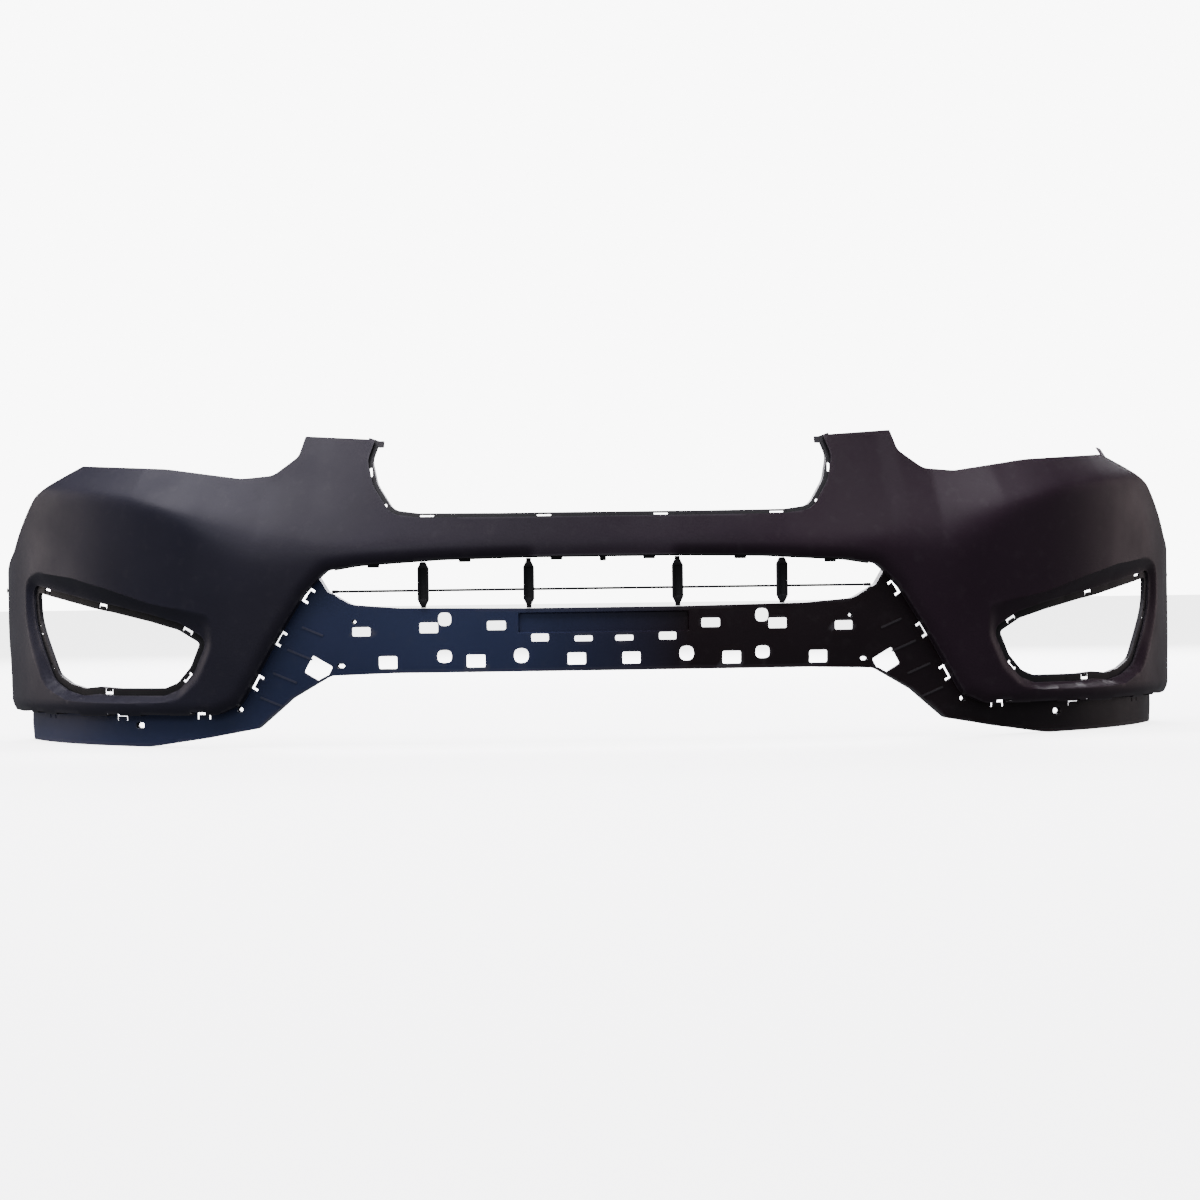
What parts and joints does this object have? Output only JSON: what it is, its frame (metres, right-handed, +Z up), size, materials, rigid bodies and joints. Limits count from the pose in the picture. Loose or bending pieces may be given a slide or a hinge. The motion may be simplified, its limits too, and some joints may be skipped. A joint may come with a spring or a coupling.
{
  "type": "bumper cover",
  "caption": "Front bumper cover of a mid-size SUV: moulded fascia with fog-lamp openings, grille bay, braced lower intake, and a recessed lower apron with fixing windows.",
  "frame": {"origin": "Middle of the bounding box in plan, at the bottom of the two sills", "axes": "+X to the cover's right-hand end as seen from the front (the vehicle's left), front faces -Y, +Z up"},
  "size_m": [1.8976, 0.5729, 0.448],
  "materials": {
    "fascia": "satin primer, fine grain, warm charcoal",
    "apron": "satin primer, cool charcoal",
    "flange": "moulded, matt, dark",
    "brace": "moulded, matt, dark",
    "fog_frame": "moulded, matt, dark",
    "bracket": "moulded, matt, dark",
    "grommet": "moulded, matt, near black",
    "rivet": "smooth moulded"
  },
  "bodies": {
    "root": {"fascia_centre": "fascia", "fascia_wing_left": "fascia", "fascia_wing_right": "fascia", "lower_apron": "apron", "grille_flange": "flange", "intake_flange": "flange", "tie_strip": "flange", "brace_1": "brace", "brace_2": "brace", "brace_3": "brace", "brace_4": "brace", "fog_frame_left": "fog_frame", "side_bracket_left": "bracket", "grommet_left_1": "grommet", "grommet_left_2": "grommet", "grommet_left_3": "grommet", "grommet_left_4": "grommet", "rivet_left_1": "rivet", "rivet_left_2": "rivet", "fog_frame_right": "fog_frame", "side_bracket_right": "bracket", "grommet_right_1": "grommet", "grommet_right_2": "grommet", "grommet_right_3": "grommet", "grommet_right_4": "grommet", "rivet_right_1": "rivet", "rivet_right_2": "rivet"}
  },
  "joints": []
}
